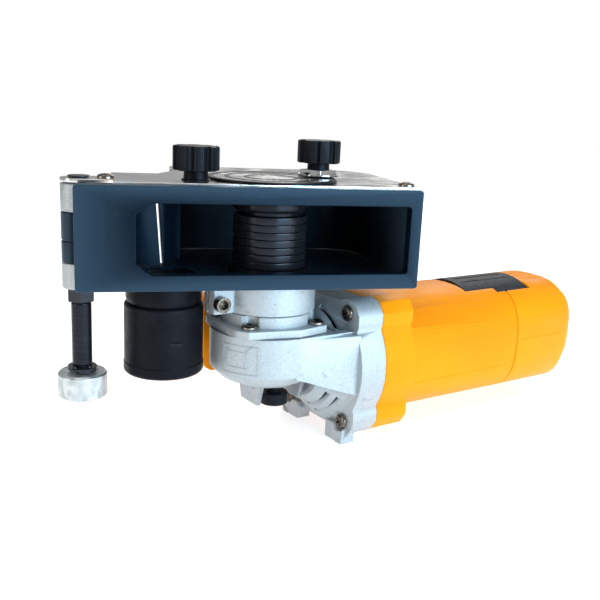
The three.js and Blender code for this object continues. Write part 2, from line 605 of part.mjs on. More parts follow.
// Nose plan of the cover and the case top: [s, y] with the near side at -y.
const coverOutline = [
  [-35, -17], [-33.5, -21.5], [-29.6, -27.5], [2.8, -36.4], [24.8, -33.1], [28, -28],
  [28, 28], [24.8, 33.1], [2.8, 36.4], [-29.6, 27.5], [-33.5, 21.5], [-35, 17],
];
const coverScrews = [[-25, -20], [20, -27.5], [20, 27.5], [-25, 20]];
const flangeScrews = [-31, 31].flatMap((y) => [[y, MOTOR.z + 37.5], [y, MOTOR.z - 37.5]]);

// Four curved vent slots round the cone at distance s along the motor.
function ventSlots(s) {
  const end = s + VENT.width;
  const band = discX(60, s, end, 0, MOTOR.z).subtract(discX(20, s - 1, end + 1, 0, MOTOR.z));
  const wedge = (from, to) => prismX(
    [[0, MOTOR.z], ...arcPoints(0, MOTOR.z, 120, from, to, 2)], s - 1, end + 1,
  );
  const slots = [wedge(-148, -98), wedge(-82, -32), wedge(98, 140), wedge(40, 82)];
  return slots.map((slot) => band.intersect(slot));
}

function gearCase() {
  const nose = turned([
    [0, NOSE.bottom], [NOSE.flat, NOSE.bottom], [NOSE.radius - 7, NOSE.shoulder - 7],
    [NOSE.radius - 1, NOSE.shoulder - 1.5], [NOSE.radius, NOSE.shoulder],
    [NOSE.radius, caseTop], [0, caseTop],
  ], 32);
  const belly = discX(NOSE.belly, 0, 30, 0, MOTOR.z, 32);
  const shoulder = prism([
    [0, -NOSE.radius], [31, -37.5], [MOTOR.flange + 1, -38],
    [MOTOR.flange + 1, 38], [31, 37.5], [0, NOSE.radius],
  ], PANEL.endLow - 2, caseTop);
  const cone = discX(25, 26, MOTOR.flange + 0.5, 0, MOTOR.z, 32, 43.5);
  const panelPoints = [
    [PANEL.start, 36.5], [20, 41.5], [MOTOR.flange + 1, 44.5], [MOTOR.flange + 1, 0], [PANEL.start, 0],
  ];
  const panel = (side) => prism(
    (side > 0 ? [...panelPoints] : [...panelPoints].reverse()).map(([s, y]) => [s, y * side]),
    PANEL.endLow - 2, PANEL.top,
  );
  const slope = (PANEL.endLow - PANEL.startLow) / (MOTOR.flange - PANEL.start);
  const lowAt = (at) => PANEL.startLow + (at - PANEL.start) * slope;
  const underside = prismY([[-1, lowAt(-1)], [60, lowAt(60)], [60, -FAR], [-1, -FAR]], -FAR, FAR);
  const flange = prismX(lobedOutline(), MOTOR.flange, MOTOR.flangeEnd);
  const foot = (side) => prism([
    [39, side * 17], [50, side * 17], [50, side * 36], [39, side * 36],
  ], MOTOR.z - 52, MOTOR.z - 40);
  const rib = (s) => prismX([[-16, -64], [16, -64], [10, -84], [-10, -84]], s, s + 3);
  const boss = disc(12, NOSE.bottom - 3, NOSE.bottom + 3, BUTTON.s, 0, 28);
  const studBoss = discY(11, 30, 40, HANDLE.at, MOTOR.z + HANDLE.drop, 28);
  const outside = union(
    nose, belly, cut(union(shoulder, panel(1), panel(-1)), underside), cone, flange,
    foot(-1), foot(1), rib(-12), rib(20), boss, studBoss,
  );
  const cavities = [
    disc(NOSE.radius - NOSE.wall, MOTOR.z + 3, caseTop + 1, 0, 0, 32),
    disc(GEAR.cone + 1.3, MOTOR.z - 6, MOTOR.z + 4, 0, 0, 32),
    discX(9.2, 4, 30, 0, MOTOR.z, SMALL),
    discX(22, 26, MOTOR.flange + 0.1, 0, MOTOR.z, ROUND, 39.5),
    discX(39.5, MOTOR.flange, MOTOR.flangeEnd + 1, 0, MOTOR.z),
    disc(BUTTON.stem + GAP, NOSE.bottom - 20, MOTOR.z, BUTTON.s, 0, SMALL),
    discY(HANDLE.stud + GAP, 34, 60, HANDLE.at, MOTOR.z + HANDLE.drop),
    ...coverScrews.map(([s, y]) => disc(SCREW.shank + GAP, caseTop - 6, caseTop + 1, s, y, 12)),
    ...flangeScrews.map(([y, z]) => (
      discX(SCREW.shank + GAP, MOTOR.flange - 1, MOTOR.flange + 6, y, z, 12)
    )),
    ...ventSlots(VENT.first), ...ventSlots(VENT.second),
  ];
  const bearingSeat = union(
    ringX(21, 13 + GAP, 27, 37, MOTOR.z),
    ringX(24.5, 13 + GAP, 27, 29, MOTOR.z),
  );
  const pockets = flangeScrews.map(([y, z]) => discX(6.6, 20, MOTOR.flange, y, z, 24));
  return cut(cut(outside, ...cavities).add(bearingSeat), ...pockets);
}
piece(motorUnit, 'gear_case', gearCase(), castSilver);
piece(motorUnit, 'pinion_bearing', ringX(13, shaft.thick + GAP, 29, 37, MOTOR.z), gearSteel);

const neckTop = collarTop - 1.5;
function bearingCover() {
  const body = union(
    prism(coverOutline, coverPlateBottom, COVER.bossBottom),
    disc(COVER.boss, COVER.bossBottom - 0.1, collarBottom - GAP),
    disc(COLLAR.neck, collarBottom - 0.5, neckTop),
    disc(20, caseTop - 6, coverPlateBottom + 0.1),
  );
  return cut(
    body,
    disc(COVER.bore, caseTop - 8, neckTop + 1),
    disc(COVER.seat, caseTop - 8, collarBottom + 2),
    ...coverScrews.map(([s, y]) => disc(SCREW.shank + GAP, -FAR, COVER.bossBottom + 1, s, y, 12)),
    ...coverScrews.map(([s, y]) => disc(SCREW.head + 0.6, COVER.bossBottom, FAR, s, y, SMALL)),
  );
}
piece(motorUnit, 'bearing_cover', bearingCover(), castSilver);
const spindleBearing = ring(COVER.seat - GAP, arborBore, COVER.bossBottom + 0.5, collarBottom);
piece(motorUnit, 'spindle_bearing', spindleBearing, gearSteel);
coverScrews.forEach(([s, y], i) => {
  const body = panScrew().translate([s, y, COVER.bossBottom + GAP]);
  piece(motorUnit, `cover_screw_${i + 1}`, body, blackSteel);
});
flangeScrews.forEach(([y, z], i) => {
  const body = panScrew(5.4, 3).rotate([0, -90, 0]).translate([MOTOR.flange - GAP, y, z]);
  piece(motorUnit, `flange_screw_${i + 1}`, body, blackSteel);
});

piece(motorUnit, 'lock_button', union(
  disc(BUTTON.radius, BUTTON.bottom, BUTTON.bottom + BUTTON.height, BUTTON.s, 0, 32),
  disc(BUTTON.stem, BUTTON.bottom + 1, MOTOR.z - 9, BUTTON.s, 0, SMALL),
), blackPlastic);

// -------------------------------------------------------------- motor housing
const housingStart = MOTOR.flangeEnd + GAP;
function barrel(stations, inset) {
  return loft(stations.map(([s, shrink]) => {
    const t = (s - MOTOR.lobedEnd) / (MOTOR.tailChamfer - MOTOR.lobedEnd);
    const w = THREE.MathUtils.lerp(BARREL.halfWidth, BARREL.rearHalfWidth, t);
    const h = THREE.MathUtils.lerp(BARREL.halfHeight, BARREL.rearHalfHeight, t);
    const power = THREE.MathUtils.lerp(BARREL.power, BARREL.rearPower, t);
    return { x: s, points: barrelSection(w - inset - shrink, h - inset - shrink, power) };
  }));
}
const paddleOuter = BARREL.halfHeight + PADDLE.proud;
function paddleShape(clear, z0, z1) {
  const front = PADDLE.frontHalf + clear;
  const rear = PADDLE.rearHalf + clear;
  return union(
    block(PADDLE.start - clear, PADDLE.step + 0.1, -front, front, z0, z1),
    block(PADDLE.step - clear, PADDLE.end + clear, -rear, rear, z0, z1),
  );
}
const paddleHole = paddleShape(SLIDE, MOTOR.z + 20, 10);

function motorHousing() {
  const outside = union(
    prismX(lobedOutline(), housingStart, MOTOR.lobedEnd),
    barrel([[MOTOR.lobedEnd - 1, 0], [MOTOR.seam, 0]], 0),
  );
  const inside = barrel([[housingStart - 1, 0], [MOTOR.seam + 1, 0]], BARREL.wall);
  return cut(outside, inside, paddleHole);
}
piece(motorUnit, 'motor_housing', motorHousing(), yellowPlastic);

function rearCover() {
  const start = MOTOR.seam + GAP;
  const outside = barrel([[start, 0], [MOTOR.tailChamfer, 0], [MOTOR.tailEnd, 9]], 0);
  const inside = barrel(
    [[start - 1, 0], [MOTOR.tailChamfer, 0], [MOTOR.tailEnd - BARREL.wall, 8]], BARREL.wall,
  );
  const inlet = discX(8 + GAP, MOTOR.tailEnd - 12, MOTOR.tailEnd + 2, 0, MOTOR.z, 28);
  const grooveBottom = MOTOR.z + BARREL.rearHalfHeight - 0.9;
  const grooves = [-12, -4, 4, 12].map((y) => (
    block(PADDLE.end + 6, MOTOR.tailChamfer - 2, y - 1, y + 1, grooveBottom, FAR)
  ));
  return cut(outside, inside, inlet, paddleHole, ...grooves);
}
piece(motorUnit, 'rear_cover', rearCover(), yellowPlastic);
piece(motorUnit, 'cord_gland', cut(
  union(
    discX(8, MOTOR.tailEnd - 9, MOTOR.tailEnd + 1, 0, MOTOR.z, 28),
    discX(10.5, MOTOR.tailEnd - 9, MOTOR.tailEnd - BARREL.wall - GAP, 0, MOTOR.z, 28),
  ),
  discX(4.2, MOTOR.tailEnd - 12, MOTOR.tailEnd + 3, 0, MOTOR.z, SMALL),
), greyRubber);

function switchPaddle() {
  const band = discX(paddleOuter, PADDLE.start, PADDLE.end, 0, MOTOR.z, 48)
    .subtract(discX(paddleOuter - PADDLE.thick, PADDLE.start - 1, PADDLE.end + 1, 0, MOTOR.z, 48));
  const pad = band.intersect(paddleShape(0, MOTOR.z + 20, 10));
  const ribBottom = MOTOR.z + paddleOuter - 1.2;
  const ribs = PADDLE.ribs.map((y) => (
    block(PADDLE.start + 6, PADDLE.end - 8, y - 0.6, y + 0.6, ribBottom, FAR)
  ));
  return cut(pad, ...ribs);
}
piece(motorUnit, 'switch_paddle', switchPaddle(), greyRubber);

piece(motorUnit, 'field_core', ringX(35.5, core.radius + 1.2, core.start, core.end, MOTOR.z), gearSteel);
piece(motorUnit, 'rear_bearing', ringX(12, shaft.thick + GAP, 196, 204, MOTOR.z, 32), gearSteel);
[-1, 1].forEach((side, i) => {
  const far = side * 30;
  const near = side * (14 + GAP);
  const body = block(167, 175, Math.min(near, far), Math.max(near, far), MOTOR.z - 3, MOTOR.z + 3);
  piece(motorUnit, `carbon_brush_${i + 1}`, body, blackSteel);
});

// ---------------------------------------------------------------- side handle
const handleZ = MOTOR.z + HANDLE.drop;
function sideHandle() {
  const y0 = HANDLE.flangeAt;
  const y1 = y0 + HANDLE.flange;
  const flange = prismY(
    roundedBox(HANDLE.at - HANDLE.half, HANDLE.at + HANDLE.half, handleZ - 26, handleZ + 26, 9), y0, y1,
  );
  const grip = turned([
    [0, 0], [HANDLE.grip - 3, 0], [HANDLE.grip, 12], [HANDLE.grip, HANDLE.length - 18],
    [HANDLE.grip + 2, HANDLE.length - 8], [HANDLE.grip - 3, HANDLE.length], [0, HANDLE.length],
  ], 32).rotate([-90, 0, 0]).translate([HANDLE.at, y1 - 0.1, handleZ]);
  return union(flange, grip, discY(HANDLE.stud, 35, y0 + 1, HANDLE.at, handleZ));
}
piece(motorUnit, 'side_handle', sideHandle(), yellowPlastic);

// ------------------------------------------------- origin: middle of the base
assembly.updateMatrixWorld(true);
const bounds = new THREE.Box3().setFromObject(assembly, true);
const base = bounds.getCenter(new THREE.Vector3()).setZ(bounds.min.z);
const object = new THREE.Group();
object.add(assembly);
assembly.position.sub(base);

export default object;
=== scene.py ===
"""Looks of the box-guided slot cutter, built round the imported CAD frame, in metres."""
import json
import math

import bmesh
import bpy
from mathutils import Matrix, Vector
from mathutils.bvhtree import BVHTree


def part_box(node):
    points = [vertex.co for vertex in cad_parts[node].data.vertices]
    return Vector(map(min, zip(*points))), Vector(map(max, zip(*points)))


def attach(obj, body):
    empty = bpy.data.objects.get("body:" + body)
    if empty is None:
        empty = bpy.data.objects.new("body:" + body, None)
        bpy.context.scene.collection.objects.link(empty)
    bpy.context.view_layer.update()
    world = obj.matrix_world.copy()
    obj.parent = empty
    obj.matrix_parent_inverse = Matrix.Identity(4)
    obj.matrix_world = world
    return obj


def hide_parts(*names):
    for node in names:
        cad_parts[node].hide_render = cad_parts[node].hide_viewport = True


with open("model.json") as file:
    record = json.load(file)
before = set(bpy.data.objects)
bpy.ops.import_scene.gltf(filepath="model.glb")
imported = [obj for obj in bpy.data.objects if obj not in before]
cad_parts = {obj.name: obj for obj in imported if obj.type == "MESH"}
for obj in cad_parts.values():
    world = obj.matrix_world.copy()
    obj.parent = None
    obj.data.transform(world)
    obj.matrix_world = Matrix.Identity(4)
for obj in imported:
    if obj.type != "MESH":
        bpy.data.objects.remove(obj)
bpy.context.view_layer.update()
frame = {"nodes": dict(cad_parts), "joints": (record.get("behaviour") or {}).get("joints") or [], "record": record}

MM = 0.001
NODES = frame["nodes"]
RECORD = frame["record"]
SLOT_OF = {row["node"]: row["material_slot"] for row in RECORD["subparts"]}
BODY_OF = {n: body for body, members in RECORD["behaviour"]["bodies"].items() for n in members}
JOINTS = {joint["name"]: joint for joint in frame["joints"]}

# The arbor stands on this vertical axis, and the motor lies along S, with N towards its near side.
ARBOR = Vector(JOINTS["arbor_spin"]["pos_m"])
MOTOR_AXIS = Vector(JOINTS["armature_spin"]["pos_m"])
S = Vector(JOINTS["armature_spin"]["axis"]).normalized()
UP = Vector((0, 0, 1))
N = S.cross(UP)
MOTOR_FRAME = Matrix.Translation(MOTOR_AXIS) @ Matrix((S, -N, UP)).transposed().to_4x4()


# ------------------------------------------------------------------- measuring
def span(node, direction=UP, origin=Vector((0, 0, 0))):
    """Lowest and highest place of a CAD node along a direction, from origin, in mm."""
    along = [(v.co - origin).dot(direction) / MM for v in NODES[node].data.vertices]
    return min(along), max(along)


def centre_of(node):
    """Middle of a CAD node's box, in metres."""
    low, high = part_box(node)
    return (low + high) / 2


def width_of(node):
    """A CAD node's size along X, in mm."""
    low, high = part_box(node)
    return (high.x - low.x) / MM


# ------------------------------------------------------------------- materials
class Surface:
    """A Principled material, with the node chains that the finishes below share."""

    def __init__(self, name, roughness, metallic, **sockets):
        self.material = bpy.data.materials.new(name)
        self.material.use_nodes = True
        self.tree = self.material.node_tree
        self.shader = self.tree.nodes["Principled BSDF"]
        self.shader.inputs["Roughness"].default_value = roughness
        self.shader.inputs["Metallic"].default_value = metallic
        for socket, value in sockets.items():
            self.shader.inputs[socket.replace("_", " ")].default_value = value
        self.place = self.tree.nodes.new("ShaderNodeTexCoord").outputs["Object"]

    def link(self, source, target):
        self.tree.links.new(source, target)

    def noise(self, grain_mm, detail=3.0, stretch=(1, 1, 1), distortion=0.0):
        """Noise whose features are about grain_mm across, drawn out by stretch."""
        mapping = self.tree.nodes.new("ShaderNodeMapping")
        mapping.inputs["Scale"].default_value = tuple(1 / (grain_mm * MM * k) for k in stretch)
        self.link(self.place, mapping.inputs["Vector"])
        node = self.tree.nodes.new("ShaderNodeTexNoise")
        node.inputs["Scale"].default_value = 1.0
        node.inputs["Detail"].default_value = detail
        node.inputs["Distortion"].default_value = distortion
        self.link(mapping.outputs["Vector"], node.inputs["Vector"])
        return node.outputs["Fac"]

    def cells(self, size_mm):
        """Random value per small cell, as in metal flake."""
        mapping = self.tree.nodes.new("ShaderNodeMapping")
        mapping.inputs["Scale"].default_value = (1 / (size_mm * MM),) * 3
        self.link(self.place, mapping.inputs["Vector"])
        node = self.tree.nodes.new("ShaderNodeTexVoronoi")
        node.inputs["Scale"].default_value = 1.0
        self.link(mapping.outputs["Vector"], node.inputs["Vector"])
        split = self.tree.nodes.new("ShaderNodeSeparateColor")
        self.link(node.outputs["Color"], split.inputs["Color"])
        return split.outputs["Red"]

    def edges(self, start=0.53, end=0.62):
        """1 on convex edges, 0 on flats; the finishes below use it to paint a highlight along edges."""
        geometry = self.tree.nodes.new("ShaderNodeNewGeometry")
        return self.remap(geometry.outputs["Pointiness"], start, end, 0, 1)

    def remap(self, value, low, high, to_low, to_high):
        node = self.tree.nodes.new("ShaderNodeMapRange")
        sockets = ("From Min", "From Max", "To Min", "To Max")
        for socket, number in zip(sockets, (low, high, to_low, to_high)):
            node.inputs[socket].default_value = number
        self.link(value, node.inputs["Value"])
        return node.outputs["Result"]

    def product(self, a, b):
        node = self.tree.nodes.new("ShaderNodeMath")
        node.operation = "MULTIPLY"
        self.link(a, node.inputs[0])
        self.link(b, node.inputs[1])
        return node.outputs["Value"]

    def mix(self, factor, a, b):
        """Colour a where factor is 0 and b where it is 1; each is a colour or a socket."""
        node = self.tree.nodes.new("ShaderNodeMix")
        node.data_type = "RGBA"
        self.link(factor, node.inputs["Factor"])
        for socket, colour in ((node.inputs[6], a), (node.inputs[7], b)):
            if isinstance(colour, tuple):
                socket.default_value = (*colour, 1)
            else:
                self.link(colour, socket)
        return node.outputs[2]

    def coloured(self, colour):
        self.link(colour, self.shader.inputs["Base Color"])
        return self

    def roughened(self, value, low, high):
        self.link(self.remap(value, 0.3, 0.7, low, high), self.shader.inputs["Roughness"])
        return self

    def bumped(self, *layers):
        """Each layer is a height socket and its depth in mm."""
        normal = None
        for height, depth_mm in layers:
            node = self.tree.nodes.new("ShaderNodeBump")
            node.inputs["Distance"].default_value = depth_mm * MM
            self.link(height, node.inputs["Height"])
            if normal:
                self.link(normal, node.inputs["Normal"])
            normal = node.outputs["Normal"]
        self.link(normal, self.shader.inputs["Normal"])
        return self


def black_coat():
    """Blue-black paint, patchy, with a painted highlight along the edges."""
    s = Surface(
        "black_coat", 0.33, 0.0, Coat_Weight=0.03, Coat_Roughness=0.2, Specular_IOR_Level=0.13,
        Specular_Tint=(0.42, 0.74, 1.0, 1.0),
    )
    drift = s.noise(60, 2)
    patches = s.remap(s.noise(7, 4, distortion=1.2), 0.60, 0.70, 0, 1)
    specks = s.remap(s.noise(0.7, 1), 0.72, 0.80, 0, 0.6)
    colour = s.mix(s.remap(drift, 0.3, 0.7, 0, 1), (0.002, 0.005, 0.011), (0.003, 0.009, 0.019))
    colour = s.mix(s.remap(patches, 0, 1, 0, 0.7), colour, (0.003, 0.006, 0.013))
    colour = s.mix(specks, colour, (0.07, 0.13, 0.19))
    # Painted highlight: convex edges are mixed towards a pale blue.
    colour = s.mix(s.remap(s.edges(), 0, 1, 0, 0.75), colour, (0.12, 0.21, 0.30))
    s.coloured(colour).roughened(s.noise(14, 5), 0.28, 0.44)
    return s.bumped((s.noise(0.5, 2), 0.02), (s.noise(6, 3), 0.04)).material


def black_steel():
    """Dark turned steel, with a painted highlight along the edges."""
    s = Surface("black_steel", 0.26, 0.55, Specular_IOR_Level=0.22)
    turned = s.noise(2.5, 2, stretch=(30, 30, 0.4))
    colour = s.mix(s.remap(turned, 0.3, 0.7, 0, 1), (0.010, 0.012, 0.016), (0.020, 0.022, 0.028))
    # Painted highlight: convex edges are mixed towards a pale grey.
    colour = s.mix(s.remap(s.edges(), 0, 1, 0, 0.6), colour, (0.12, 0.13, 0.15))
    s.coloured(colour).roughened(s.noise(9, 3), 0.20, 0.30)
    return s.bumped((turned, 0.001)).material


def black_plastic():
    """Fine-grained black plastic, with a painted highlight along the edges."""
    s = Surface("black_plastic", 0.4, 0.0, Specular_IOR_Level=0.11, Specular_Tint=(0.75, 0.88, 1.0, 1.0))
    colour = s.mix(s.remap(s.noise(12, 3), 0.3, 0.7, 0, 1), (0.003, 0.003, 0.004), (0.007, 0.007, 0.009))
    # Painted highlight: convex edges are mixed towards a paler grey.
    colour = s.mix(s.remap(s.edges(), 0, 1, 0, 0.5), colour, (0.05, 0.052, 0.058))
    s.coloured(colour).roughened(s.noise(5, 4), 0.32, 0.48)
    return s.bumped((s.noise(0.45, 2), 0.03)).material


def bright_steel():
    """Polished steel, brushed and smeared, with small dark marks."""
    s = Surface("bright_steel", 0.14, 1.0)
    brushed = s.noise(2, 3, stretch=(8, 0.12, 1))
    smears = s.noise(22, 4, distortion=0.8)
    colour = s.mix(s.remap(smears, 0.35, 0.65, 0, 1), (0.70, 0.71, 0.72), (0.88, 0.88, 0.87))
    colour = s.mix(s.remap(s.noise(1.4, 2), 0.68, 0.76, 0, 0.5), colour, (0.30, 0.27, 0.24))
    s.coloured(colour).roughened(smears, 0.10, 0.24)
    return s.bumped((brushed, 0.008)).material


def screw_steel():
    """Dark screw steel, with a painted highlight along the edges."""
    s = Surface("screw_steel", 0.25, 1.0)
    colour = s.mix(s.remap(s.noise(1.5, 3), 0.35, 0.65, 0, 1), (0.045, 0.036, 0.028), (0.19, 0.165, 0.14))
    # Painted highlight: convex edges are mixed towards a bright warm steel.
    colour = s.mix(s.remap(s.edges(), 0, 1, 0, 0.9), colour, (0.6, 0.55, 0.48))
    s.coloured(colour).roughened(s.noise(1, 3), 0.18, 0.34)
    return s.bumped((s.noise(0.5, 2), 0.015)).material


def cast_silver():
    """Silver flake paint on a casting, with some grime."""
    s = Surface("cast_silver", 0.45, 0.45, Specular_IOR_Level=0.5)
    flake = s.cells(0.35)
    colour = s.mix(flake, (0.32, 0.36, 0.38), (0.54, 0.60, 0.63))
    colour = s.mix(s.remap(s.noise(30, 3), 0.3, 0.7, 0, 0.35), colour, (0.46, 0.47, 0.47))
    dirt = s.remap(s.noise(9, 5, distortion=1.0), 0.60, 0.72, 0, 0.5)
    grime = s.product(dirt, s.remap(flake, 0, 1, 0.6, 1))
    colour = s.mix(grime, colour, (0.14, 0.135, 0.13))
    s.coloured(colour).roughened(flake, 0.38, 0.56)
    return s.bumped((flake, 0.025), (s.noise(1.6, 3), 0.05)).material


def turned_aluminium():
    """Scuffed aluminium with small dark pits."""
    s = Surface("turned_aluminium", 0.34, 0.75)
    scuffs = s.noise(7, 5, stretch=(1, 1, 1.6), distortion=0.8)
    pits = s.remap(s.noise(1.1, 2), 0.69, 0.74, 0, 0.85)
    colour = s.mix(s.remap(scuffs, 0.38, 0.6, 0, 1), (0.42, 0.45, 0.455), (0.63, 0.67, 0.675))
    s.coloured(s.mix(pits, colour, (0.08, 0.075, 0.07))).roughened(scuffs, 0.26, 0.42)
    return s.bumped((s.noise(1.1, 2), 0.02), (s.noise(3, 2, stretch=(20, 20, 0.3)), 0.003)).material


def gear_steel():
    """Plain ground steel."""
    s = Surface("gear_steel", 0.32, 1.0)
    colour = s.mix(s.remap(s.noise(3, 4), 0.3, 0.7, 0, 1), (0.36, 0.37, 0.38), (0.56, 0.57, 0.58))
    s.coloured(colour).roughened(s.noise(2, 3), 0.22, 0.42)
    return s.bumped((s.noise(2, 2, stretch=(4, 4, 0.1)), 0.01)).material


def copper():
    """Copper in fine strands."""
    s = Surface("copper", 0.35, 1.0)
    strands = s.noise(1.2, 2, stretch=(6, 1, 1))
    s.coloured(s.mix(s.remap(strands, 0.3, 0.7, 0, 1), (0.40, 0.16, 0.07), (0.80, 0.40, 0.20)))
    s.roughened(s.noise(3, 3), 0.28, 0.45)
    return s.bumped((strands, 0.08)).material


def carbon():
    """Matt carbon."""
    s = Surface("carbon", 0.6, 0.0)
    s.coloured(s.mix(s.remap(s.noise(0.8, 3), 0.3, 0.7, 0, 1), (0.01, 0.01, 0.01), (0.05, 0.05, 0.05)))
    s.roughened(s.noise(1, 2), 0.5, 0.7)
    return s.bumped((s.noise(0.4, 2), 0.03)).material


def yellow_plastic():
    """Orange-yellow moulded plastic with faint stains, and a painted highlight along the edges."""
    s = Surface("yellow_plastic", 0.42, 0.0, Specular_IOR_Level=0.2, Specular_Tint=(1.0, 0.78, 0.3, 1.0))
    flow = s.noise(45, 3, stretch=(2, 1, 1))
    colour = s.mix(s.remap(flow, 0.3, 0.7, 0, 1), (0.84, 0.235, 0.001), (0.92, 0.295, 0.002))
    stain = s.remap(s.noise(5, 4, distortion=0.6), 0.66, 0.78, 0, 0.35)
    colour = s.mix(stain, colour, (0.55, 0.19, 0.006))
    # Painted highlight: convex edges are mixed towards a brighter orange.
    colour = s.mix(s.remap(s.edges(), 0, 1, 0, 0.3), colour, (1.0, 0.42, 0.015))
    s.coloured(colour).roughened(s.noise(9, 4), 0.34, 0.52)
    return s.bumped((s.noise(0.6, 2), 0.035), (s.noise(12, 2), 0.08)).material


def grey_rubber():
    """Dark grey rubber, with a painted highlight along the edges."""
    s = Surface("grey_rubber", 0.5, 0.0, Specular_IOR_Level=0.2)
    colour = s.mix(s.remap(s.noise(8, 3), 0.3, 0.7, 0, 1), (0.009, 0.011, 0.013), (0.017, 0.020, 0.024))
    # Painted highlight: convex edges are mixed towards a paler grey.
    colour = s.mix(s.remap(s.edges(), 0, 1, 0, 0.5), colour, (0.09, 0.10, 0.11))
    s.coloured(colour).roughened(s.noise(3, 3), 0.42, 0.6)
    return s.bumped((s.noise(0.5, 2), 0.04)).material


MATERIALS = {
    make.__name__: make()
    for make in (
        black_coat, black_steel, black_plastic, bright_steel, screw_steel, cast_silver, turned_aluminium,
        gear_steel, copper, carbon, yellow_plastic, grey_rubber,
    )
}


# ---------------------------------------------------------------- mesh helpers
SHARP = math.radians(42)  # faces that meet at more than this are shaded as an edge
FLAT = math.radians(0.4)  # faces that meet at less than this become one
BEVEL_ANGLE = math.radians(33)  # edges sharper than this are rounded
BEVEL_SHARES = (1, 0.6, 0.35, 0.2)  # parts of the full width, tried in turn


def finish_mesh(name, bm, slot, body, stands_for=(), sharp=SHARP):
    """Turns bm into a smooth-shaded piece that rides on a body and takes a slot's finish."""
    bmesh.ops.recalc_face_normals(bm, faces=bm.faces)
    mesh = bpy.data.meshes.new(name)
    bm.to_mesh(mesh)
    bm.free()
    mesh.shade_smooth()
    mesh.set_sharp_from_angle(angle=sharp)
    piece = bpy.data.objects.new(name, mesh)
    bpy.context.scene.collection.objects.link(piece)
    weighted = piece.modifiers.new("weighted_normals", "WEIGHTED_NORMAL")
    weighted.keep_sharp = True
    mesh.materials.append(MATERIALS[slot])
    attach(piece, body)
    if stands_for:
        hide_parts(*stands_for)


def clean_copy(node):
    """A CAD node's mesh with its flat faces made whole again."""
    bm = bmesh.new()
    bm.from_mesh(NODES[node].data)
    bmesh.ops.remove_doubles(bm, verts=bm.verts, dist=0.02 * MM)
    bmesh.ops.dissolve_degenerate(bm, dist=0.01 * MM, edges=bm.edges)
    bmesh.ops.dissolve_limit(bm, angle_limit=FLAT, verts=bm.verts, edges=bm.edges)
    return bm


def cut_by(bm, tools):
    """Takes away each tool, a bmesh, from bm."""
    for tool in tools:
        holders = []
        for part in (bm, tool):
            mesh = bpy.data.meshes.new("cutting")
            part.to_mesh(mesh)
            part.free()
            holder = bpy.data.objects.new("cutting", mesh)
            bpy.context.scene.collection.objects.link(holder)
            holders.append(holder)
        boolean = holders[0].modifiers.new("cut", "BOOLEAN")
        boolean.operation = "DIFFERENCE"
        boolean.solver = "EXACT"
        boolean.object = holders[1]
        evaluated = holders[0].evaluated_get(bpy.context.evaluated_depsgraph_get())
        bm = bmesh.new()
        bm.from_mesh(evaluated.to_mesh())
        for holder in holders:
            bpy.data.objects.remove(holder)
    return bm


def bevelled(bm, width_mm, concave=False):
    """Rounds the sharp edges by as much of width_mm as the shape has room for."""
    tree = BVHTree.FromBMesh(bm)
    for share in BEVEL_SHARES:
        width = width_mm * share * MM
        trial = bm.copy()
        edges = [
            e for e in trial.edges
            if e.is_manifold and e.calc_face_angle(0) > BEVEL_ANGLE and (concave or e.is_convex)
        ]
        bmesh.ops.bevel(
            trial, geom=edges, offset=width, offset_type="OFFSET", segments=2, profile=0.5,
            affect="EDGES", clamp_overlap=False, loop_slide=True,
        )
        stray = max((tree.find_nearest(v.co)[3] for v in trial.verts), default=0)
        if stray < width * 1.1:
            bm.free()
            return trial
        trial.free()
    return bm


def refine(node, width_mm, slot=None, concave=False):
    """A CAD node with rounded edges and even shading, in its own finish."""
    bm = bevelled(clean_copy(node), width_mm, concave)
    finish_mesh(node + "_shape", bm, slot or SLOT_OF[node], BODY_OF[node], [node])


def block(size_mm, matrix=Matrix.Identity(4), centre_mm=(0, 0, 0)):
    """A box of that size, its centre in the matrix's own millimetres."""
    bm = bmesh.new()
    bmesh.ops.create_cube(bm, size=1)
    scale = Matrix.Diagonal((*(Vector(size_mm) * MM), 1))
    place = matrix @ Matrix.Translation(Vector(centre_mm) * MM) @ scale
    bmesh.ops.transform(bm, matrix=place, verts=bm.verts)
    return bm


def eased(profile, radius):
    """A closed outline with each corner off the axis rounded by three points."""
    points = [Vector(p) for p in profile]
    result = []
    for i, point in enumerate(points):
        before, after = points[i - 1], points[(i + 1) % len(points)]
        if point.x < 1e-6:
            result.append(point)
            continue
        room = min(radius, 0.4 * (before - point).length, 0.4 * (after - point).length)
        start = point + (before - point).normalized() * room
        end = point + (after - point).normalized() * room
        result += [start, (start + end) / 4 + point / 2, end]
    return result


def lathe(profile, axis, base_z_mm=0.0, sides=96, ease=0.4):
    """Turns a closed outline of (radius, height) in mm round the vertical line through axis."""
    outline = eased(profile, ease) if ease else [Vector(p) for p in profile]
    bm = bmesh.new()
    rings = []
    for k in range(sides):
        turn = 2 * math.pi * k / sides
        rings.append([
            bm.verts.new((
                axis.x + p.x * MM * math.cos(turn),
                axis.y + p.x * MM * math.sin(turn),
                (p.y + base_z_mm) * MM,
            ))
            for p in outline
        ])
    count = len(outline)
    for k in range(sides):
        this, following = rings[k], rings[(k + 1) % sides]
        for i in range(count):
            j = (i + 1) % count
            bm.faces.new((this[i], following[i], following[j], this[j]))
    bmesh.ops.remove_doubles(bm, verts=bm.verts, dist=1e-7)
    return bm


def loft(bm, sections):
    """Skins a row of sections, each a loop of vertices, and caps both ends."""
    count = len(sections[0])
    for this, following in zip(sections, sections[1:]):
        for i in range(count):
            j = (i + 1) % count
            bm.faces.new((this[i], this[j], following[j], following[i]))
    bm.faces.new(sections[0])
    bm.faces.new(sections[-1][::-1])


